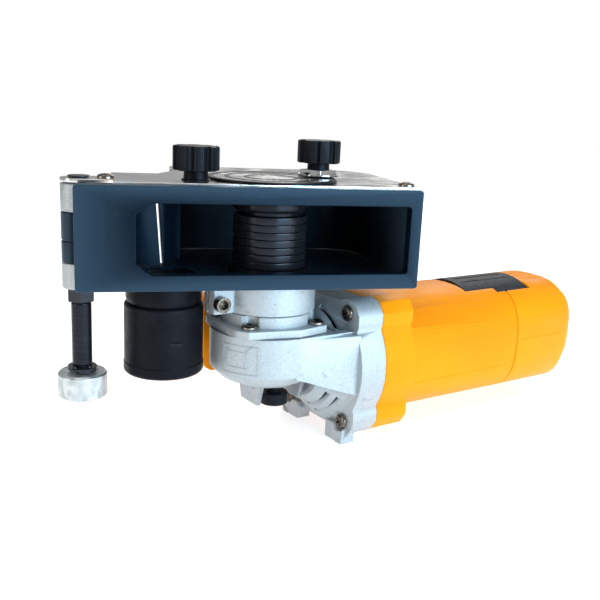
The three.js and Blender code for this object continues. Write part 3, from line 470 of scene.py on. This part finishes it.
def joined(*parts):
    """Several closed bmeshes as one."""
    whole = bmesh.new()
    for part in parts:
        mesh = bpy.data.meshes.new("joined")
        part.to_mesh(mesh)
        part.free()
        whole.from_mesh(mesh)
        bpy.data.meshes.remove(mesh)
    return whole


# ---------------------------------------------------------- box, shoe and plates
EDGE_WIDTHS = {
    "front_frame": 0.55, "left_housing_wall": 0.45, "housing_wall": 0.45, "bottom_plate": 0.45,
    "top_plate": 0.35,
}
for node, width in EDGE_WIDTHS.items():
    refine(node, width)


def access_cover():
    """Polished disc in a black rim, with two black rings let into it."""
    low, high = span("access_cover")
    rim = width_of("access_cover") / 2
    thick = high - low
    rim_inside = rim - 4.5
    radius = rim_inside - 0.05
    face = thick - 0.25
    floor = thick - 0.45
    seal_top = thick - 0.1
    ring_width = 3.0
    play = 0.1
    grooves = (rim * 0.66, rim * 0.36)
    disc = [(radius, 0), (radius, face)]
    for inner in grooves:
        outer = inner + ring_width
        disc += [(outer, face), (outer, floor), (inner, floor), (inner, face)]
    disc += [(0, face), (0, 0)]
    finish_mesh(
        "access_cover_shape", lathe(disc, ARBOR, low, ease=0.15), "bright_steel", "cutter_box",
        ["access_cover"],
    )
    rim_outline = [(rim_inside, 0), (rim, 0), (rim, thick), (rim_inside, thick)]
    rings = [lathe(rim_outline, ARBOR, low, ease=0.5)]
    for groove in grooves:
        outer = groove + ring_width - play
        inner = groove + play
        section = [(outer, floor), (outer, seal_top), (inner, seal_top), (inner, floor)]
        rings.append(lathe(section, ARBOR, low, ease=0.1))
    finish_mesh("access_cover_seal", joined(*rings), "black_plastic", "cutter_box", ["access_cover"])


access_cover()


def pan_screw(head, height, matrix):
    """Pan head with a cross recess, its seat at the matrix's origin and its top along +Z."""
    dome = [(0, 0), (head, 0), (head, height * 0.35)]
    for k in range(1, 6):
        turn = math.radians(90 * k / 6)
        dome.append((head * math.cos(turn) ** 0.8, height * (0.35 + 0.65 * math.sin(turn))))
    dome.append((0, height))
    bm = lathe(dome, Vector((0, 0, 0)), 0, 40, ease=0)
    depth = height * 1.1
    arms = [
        block((head * 1.15, head * 0.26, depth), centre_mm=(0, 0, height)),
        block((head * 0.26, head * 1.15, depth), centre_mm=(0, 0, height)),
    ]
    bm = cut_by(bm, arms)
    bmesh.ops.transform(bm, matrix=matrix, verts=bm.verts)
    return bm


SHANK = 4.0  # length of each CAD screw below its head, in mm


def upright_screws():
    """Heads of the plate and cover screws, each turned differently."""
    nodes = sorted(n for n in NODES if n.startswith(("plate_screw", "cover_screw")))
    first_turn, next_turn = 20, 37
    for i, node in enumerate(nodes):
        low, high = span(node)
        seat = centre_of(node)
        seat.z = (low + SHANK) * MM
        turn = Matrix.Rotation(math.radians(first_turn + next_turn * i), 4, "Z")
        head = pan_screw(width_of(node) / 2, high - low - SHANK, Matrix.Translation(seat) @ turn)
        finish_mesh(node + "_head", head, "screw_steel", BODY_OF[node], [node])


def flange_screws():
    """Heads of the screws that face along the motor, away from the housing."""
    turn = Matrix.Rotation(math.radians(-90), 4, "Y") @ Matrix.Rotation(math.radians(30), 4, "Z")
    for node in [n for n in NODES if n.startswith("flange_screw")]:
        low, high = span(node, S, MOTOR_AXIS)
        near = span(node, N, MOTOR_AXIS)
        level = span(node)
        seat = Vector((high - SHANK, -sum(near) / 2, sum(level) / 2 - MOTOR_AXIS.z / MM)) * MM
        place = MOTOR_FRAME @ Matrix.Translation(seat) @ turn
        head = pan_screw((level[1] - level[0]) / 2, high - low - SHANK, place)
        finish_mesh(node + "_head", head, "screw_steel", BODY_OF[node], [node])


upright_screws()
flange_screws()


# ------------------------------------------------------------------- star knobs
def star_knob(node, stem_radius=7.5, lobes=8):
    """Grip with broad lobes and two thin ribs in each valley, on a flanged stem."""
    low, high = span(node)
    axis = centre_of(node)
    radius = width_of(node) / 2
    grip_low = high - 14.5
    valley_depth = 1.7
    rib_height = 0.35
    steps = lobes * 20
    bm = bmesh.new()

    def outline(shrink, z):
        """One level of the grip, drawn in by shrink."""
        verts = []
        for k in range(steps):
            turn = 2 * math.pi * k / steps + math.radians(14)
            wave = math.cos(lobes * turn)
            valley = min(1.0, max(0.0, (-wave - 0.15) / 0.35))
            ribs = rib_height * valley * math.cos(lobes * 5 * turn)
            r = radius - rib_height - valley_depth * valley + ribs - shrink
            verts.append(bm.verts.new((
                axis.x + r * MM * math.cos(turn), axis.y + r * MM * math.sin(turn), z * MM,
            )))
        return verts

    levels = [
        (0.9, grip_low), (0.25, grip_low + 0.3), (0, grip_low + 0.9),
        (0, high - 1.1), (0.3, high - 0.4), (1.1, high),
    ]
    rings = [outline(shrink, z) for shrink, z in levels]
    for below, above in zip(rings, rings[1:]):
        for k in range(steps):
            j = (k + 1) % steps
            bm.faces.new((below[k], below[j], above[j], above[k]))
    bm.faces.new(rings[0][::-1])
    bm.faces.new(rings[-1])
    foot = low + 10
    stud = 2.9
    flange = stem_radius + 1.2
    stem = [
        (0, foot - 2), (stud, foot - 2), (stud, foot), (flange, foot), (flange, foot + 0.8),
        (stem_radius, foot + 1.2), (stem_radius - 0.5, grip_low + 0.2), (0, grip_low + 0.2),
    ]
    return joined(bm, lathe(stem, axis, 0, 56, ease=0.2))


for node in ("left_star_knob", "right_star_knob"):
    grip = star_knob(node)
    finish_mesh(node + "_grip", grip, "black_plastic", BODY_OF[node], [node], sharp=math.radians(35))


def clamp_block(washer=0.9, reach=60):
    """The bright block and the black washer that it stands on, parted at the washer's top."""
    low = span("clamp_block")[0]
    at = Matrix.Translation(centre_of("clamp_block") * Vector((1, 1, 0)))
    split = low + washer
    below = block((reach, reach, reach), at, (0, 0, split - reach / 2))
    overhead = block((reach, reach, reach), at, (0, 0, split + reach / 2))
    block_only = cut_by(clean_copy("clamp_block"), [below])
    washer_only = cut_by(clean_copy("clamp_block"), [overhead])
    body = BODY_OF["clamp_block"]
    finish_mesh("clamp_block_shape", bevelled(block_only, 0.4), "bright_steel", body, ["clamp_block"])
    finish_mesh("clamp_block_washer", bevelled(washer_only, 0.2), "black_steel", body, ["clamp_block"])


clamp_block()

# ----------------------------------------------------------- hinge, post, roller
refine("hinge_bracket", 0.7)
refine("hinge_axle", 0.4)
refine("post_nut", 0.6)
refine("roller_bolt", 0.4)
HINGE = centre_of("support_post")
HINGE_BORE = 4.3  # radius of the hole through the post and through the roller, in mm


def support_post():
    """Round post, bored through."""
    low, high = span("support_post")
    radius = width_of("support_post") / 2
    outline = [
        (HINGE_BORE, low), (radius - 0.8, low), (radius, low + 0.8),
        (radius, high - 1), (radius - 0.7, high), (HINGE_BORE, high),
    ]
    finish_mesh(
        "support_post_shape", lathe(outline, HINGE, 0, 64), "black_steel", "cutter_box", ["support_post"],
    )


support_post()


def spring_washer(turns=1.9, steps=120):
    """Two-coil spring washer, a flat wire wound round the post's foot."""
    low, high = span("spring_washer")
    outer = width_of("spring_washer") / 2
    inner = outer - 2.9
    wire = 1.35
    corner = 0.3
    wire_section = (
        (inner, 0), (outer - corner, 0), (outer, corner),
        (outer, wire - corner), (outer - corner, wire), (inner, wire),
    )
    bm = bmesh.new()
    sections = []
    for k in range(steps + 1):
        share = k / steps
        turn = 2 * math.pi * turns * share - math.radians(100)
        z = low + (high - low - wire) * share
        section = []
        for r, dz in wire_section:
            section.append(bm.verts.new((
                HINGE.x + r * MM * math.cos(turn), HINGE.y + r * MM * math.sin(turn), (z + dz) * MM,
            )))
        sections.append(section)
    loft(bm, sections)
    finish_mesh("spring_washer_coils", bm, "black_steel", "cutter_box", ["spring_washer"])


spring_washer()


def roller():
    """Guide roller, counterbored from below."""
    low, high = span("roller")
    radius = width_of("roller") / 2
    counterbore = 7
    seat = high - 0.7
    outline = [
        (counterbore, low), (radius - 1.0, low), (radius, low + 1.0), (radius, high - 1.2),
        (radius - 1.2, high), (9.6, high), (9.2, seat), (HINGE_BORE, seat), (HINGE_BORE, low + 4.5),
        (counterbore, low + 4.5),
    ]
    finish_mesh(
        "roller_shape", lathe(outline, HINGE, 0, 96, ease=0.25), "turned_aluminium", "guide_roller",
        ["roller"],
    )


roller()


# -------------------------------------------------------------------- dust port
def dust_port():
    """The port's neck and outer sleeve, with a small raised mark on the sleeve."""
    axis = centre_of("dust_port_neck")
    bore = 19.5
    low, high = span("dust_port_neck")
    neck = width_of("dust_port_neck") / 2
    sleeve_low, sleeve_high = span("dust_port_sleeve")
    sleeve = width_of("dust_port_sleeve") / 2
    tube = bore + 2.2
    shoulder = sleeve_high + 0.3
    outline = [
        (bore, low), (tube, low), (tube, shoulder), (neck - 0.9, shoulder),
        (neck, sleeve_high + 3.6), (neck, high), (bore, high),
    ]
    finish_mesh(
        "dust_port_neck_shape", lathe(outline, axis, 0), "black_plastic", "cutter_box", ["dust_port_neck"],
    )
    inner = bore + 2.5
    wall = sleeve - 0.45
    outline = [
        (inner, sleeve_low), (sleeve - 1.6, sleeve_low), (sleeve - 0.3, sleeve_low + 1.2),
        (sleeve, sleeve_low + 2.4), (sleeve, sleeve_low + 7.0), (wall, sleeve_low + 7.5),
        (wall, sleeve_high - 1.2), (wall - 0.8, sleeve_high), (inner, sleeve_high),
    ]
    body = lathe(outline, axis, 0)
    at = Matrix.Translation(Vector((axis.x, axis.y, 0)))
    mark = block((7.2, 1.4, 1.7), at, (5.8, -wall + 0.4, sleeve_low + 23.2))
    finish_mesh(
        "dust_port_sleeve_shape", joined(body, bevelled(mark, 0.4)), "black_plastic", "cutter_box",
        ["dust_port_sleeve"],
    )


dust_port()


# -------------------------------------------------------------- arbor and rings
def arbor_stack():
    """Spacer rings between two flanges, with a hexagon on the top one."""
    bore = 8.3
    for node in sorted(n for n in NODES if n.startswith("spacer_ring")):
        low, high = span(node)
        radius = width_of(node) / 2
        outline = [(bore, low), (radius, low), (radius, high), (bore, high)]
        ring = lathe(outline, ARBOR, 0, 96, ease=0.55)
        finish_mesh(node + "_turned", ring, "black_steel", "arbor", [node])
    low, high = span("base_flange")
    radius = width_of("base_flange") / 2
    outline = [(bore, low), (radius, low), (radius, high - 1.4), (radius - 1.4, high), (bore, high)]
    finish_mesh("base_flange_turned", lathe(outline, ARBOR, 0), "black_steel", "arbor", ["base_flange"])
    low, high = span("top_flange")
    radius = width_of("top_flange") / 2
    hub = 20
    hub_top = low + 2.3
    nut_radius = 11
    nut_foot = high - 3.6
    nut_root = nut_foot - 3
    outline = [
        (bore, low), (hub, low), (hub, hub_top), (radius - 1.6, hub_top), (radius, low + 4.2),
        (radius, nut_foot - 0.8), (radius - 0.8, nut_foot), (bore, nut_foot),
    ]
    nut = [(0, nut_root), (nut_radius, nut_root), (nut_radius, high), (0, high)]
    hexagon = lathe(nut, ARBOR, 0, 6, ease=0)
    turned = joined(lathe(outline, ARBOR, 0), bevelled(hexagon, 0.5))
    finish_mesh("top_flange_turned", turned, "black_steel", "arbor", ["top_flange"])


arbor_stack()

# -------------------------------------------------- collar, cover and gear case
refine("clamp_collar", 0.8)
refine("clamp_bolt", 0.45, slot="screw_steel")
refine("bearing_cover", 0.8)
refine("gear_case", 1.1, concave=True)
refine("lock_button", 0.9)


def nose_plate():
    """Blank raised frames on the nose, where a rating plate would sit."""
    nose = -span("gear_case", S, MOTOR_AXIS)[0]
    top = 22

    def frame_strip(bm, from_deg, to_deg, low, high, line=0.8, proud=0.3):
        """One frame of four raised bars."""
        side = 1.3
        inside = (low + line, high - line)
        for turn0, turn1, z0, z1 in (
            (from_deg, to_deg, low, low + line), (from_deg, to_deg, high - line, high),
            (from_deg, from_deg + side, *inside), (to_deg - side, to_deg, *inside),
        ):
            steps = max(1, round((turn1 - turn0) / 4))
            sections = []
            for k in range(steps + 1):
                turn = math.radians(turn0 + (turn1 - turn0) * k / steps)
                out = -S * math.cos(turn) + N * math.sin(turn)
                sections.append([
                    bm.verts.new(MOTOR_AXIS + out * r * MM + UP * z * MM)
                    for r, z in ((nose - 1, z0), (nose + proud, z0), (nose + proud, z1), (nose - 1, z1))
                ])
            loft(bm, sections)

    bm = bmesh.new()
    frame_strip(bm, 12, 52, 3, top)
    frame_strip(bm, 17, 40, 7, top - 4)
    finish_mesh("nose_plate_frame", bm, "cast_silver", "motor_unit")


nose_plate()


# ---------------------------------------------------------------- motor housing
def ridge(node, s0, s1, z, side, proud=0.3, width=0.7, sections=16):
    """A thin moulded line that follows the housing's side at height z, in motor millimetres."""
    surface = clean_copy(node)
    tree = BVHTree.FromBMesh(surface)
    surface.free()
    inverse = MOTOR_FRAME.inverted()
    outside = 90
    root = 0.6
    foot, crown = width / 2, width / 3
    bm = bmesh.new()
    corners = []
    for k in range(sections):
        s = s0 + (s1 - s0) * k / (sections - 1)
        hit = tree.ray_cast(MOTOR_FRAME @ (Vector((s, -outside * side, z)) * MM), -N * side)[0]
        reach = abs((inverse @ hit).y) / MM
        corners.append([
            bm.verts.new(MOTOR_FRAME @ (Vector((s, -side * (reach + out), z + up)) * MM))
            for out, up in ((-root, -foot), (proud, -crown), (proud, crown), (-root, foot))
        ])
    loft(bm, corners)
    return bm


def housing():
    """The two yellow shells, with the moulded lines along both their sides."""
    start, seam = span("motor_housing", S, MOTOR_AXIS)
    lobed_end = start + 26.7
    tail = span("rear_cover", S, MOTOR_AXIS)[1]
    sides = (1, -1)
    refine("motor_housing", 1.3)
    refine("rear_cover", 1.2)
    front = [
        ridge("motor_housing", lobed_end + 4, seam - 6, z, side) for z in (20, -16) for side in sides
    ]
    rear = [ridge("rear_cover", seam + 2, tail - 22, 2, side) for side in sides]
    finish_mesh("housing_ridges", joined(*front, *rear), "yellow_plastic", BODY_OF["motor_housing"])


housing()
refine("switch_paddle", 0.5)
refine("cord_gland", 0.5)
refine("side_handle", 1.0)

# Inner pieces and plain shafts keep their CAD shape in their own finish.
for node, thing in NODES.items():
    if not thing.hide_render:
        thing.data.materials.clear()
        thing.data.materials.append(MATERIALS[SLOT_OF[node]])


# ------------------------------------------------------- floor, light and camera
def studio_floor():
    """Pale disc that glows a little, so that it reads as white paper."""
    bm = bmesh.new()
    bmesh.ops.create_circle(bm, cap_ends=True, segments=96, radius=1.6)
    mesh = bpy.data.meshes.new("studio_floor")
    bm.to_mesh(mesh)
    bm.free()
    floor = bpy.data.objects.new("studio_floor", mesh)
    bpy.context.scene.collection.objects.link(floor)
    floor.location.z = -0.0005
    surface = Surface("floor_paper", 0.9, 0.0)
    tone = surface.remap(surface.noise(400, 2), 0.3, 0.7, 0, 1)
    surface.coloured(surface.mix(tone, (0.93, 0.93, 0.93), (0.96, 0.96, 0.96)))
    surface.shader.inputs["Emission Color"].default_value = (1, 1, 1, 1)
    surface.shader.inputs["Emission Strength"].default_value = 0.55
    mesh.materials.append(surface.material)


def area_light(name, place, aim, size, power, colour):
    """Rectangular lamp at place, turned towards aim."""
    data = bpy.data.lights.new(name, "AREA")
    data.shape = "RECTANGLE"
    data.size, data.size_y = size
    data.energy = power
    data.color = colour
    lamp = bpy.data.objects.new(name, data)
    bpy.context.scene.collection.objects.link(lamp)
    lamp.location = place
    lamp.rotation_mode = "QUATERNION"
    lamp.rotation_quaternion = (Vector(aim) - Vector(place)).to_track_quat("-Z", "Y")


studio_floor()
area_light("key_cool", (0.80, -1.05, 0.40), (0.0, 0.0, 0.12), (0.7, 0.6), 14, (0.62, 0.83, 1.0))
area_light("front_cool", (0.28, -1.05, 0.26), (-0.05, 0.0, 0.13), (0.3, 0.3), 4.5, (0.48, 0.77, 1.0))
area_light("top_soft", (0.0, -0.1, 1.5), (0.0, 0.0, 0.1), (1.6, 1.2), 9, (1.0, 1.0, 1.0))
area_light("side_warm", (-1.3, -0.45, 0.30), (-0.05, 0.0, 0.10), (0.4, 0.9), 4, (1.0, 0.86, 0.72))
area_light("back_soft", (0.6, 1.3, 0.9), (0.0, 0.0, 0.1), (1.2, 0.8), 7, (1.0, 0.98, 0.95))


def studio_world(seen=1.0, shining=0.36):
    """A white backdrop that is seen brighter than it shines on the object."""
    world = bpy.data.worlds.new("studio")
    world.use_nodes = True
    tree = world.node_tree
    background = tree.nodes["Background"].inputs
    background["Color"].default_value = (1, 1, 1, 1)
    path = tree.nodes.new("ShaderNodeLightPath")
    strength = tree.nodes.new("ShaderNodeMapRange")
    strength.inputs["To Min"].default_value = shining
    strength.inputs["To Max"].default_value = seen
    tree.links.new(path.outputs["Is Camera Ray"], strength.inputs["Value"])
    tree.links.new(strength.outputs["Result"], background["Strength"])
    bpy.context.scene.world = world
    bpy.context.scene.view_settings.view_transform = "Standard"


studio_world()

LENS_MM = 48.23
SENSOR_MM = 36
CAMERA_PLACE = Vector((-0.17264, -0.55334, 0.21858))
YAW, PITCH, ROLL = (math.radians(a) for a in (14.40, -13.48, 2.55))


def photo_camera():
    """A camera where the photograph was taken from."""
    forward = Vector((
        math.sin(YAW) * math.cos(PITCH), math.cos(YAW) * math.cos(PITCH), math.sin(PITCH),
    ))
    level = Vector((math.cos(YAW), -math.sin(YAW), 0))
    right = math.cos(ROLL) * level + math.sin(ROLL) * level.cross(forward)
    above = right.cross(forward)
    turned = Matrix((right, above, -forward)).transposed().to_4x4()
    camera = bpy.data.objects.new("camera", bpy.data.cameras.new("camera"))
    camera.data.lens = LENS_MM
    camera.data.sensor_width = SENSOR_MM
    camera.data.clip_start = 0.01
    camera.matrix_world = Matrix.Translation(CAMERA_PLACE) @ turned
    bpy.context.scene.collection.objects.link(camera)
    bpy.context.scene.camera = camera


photo_camera()
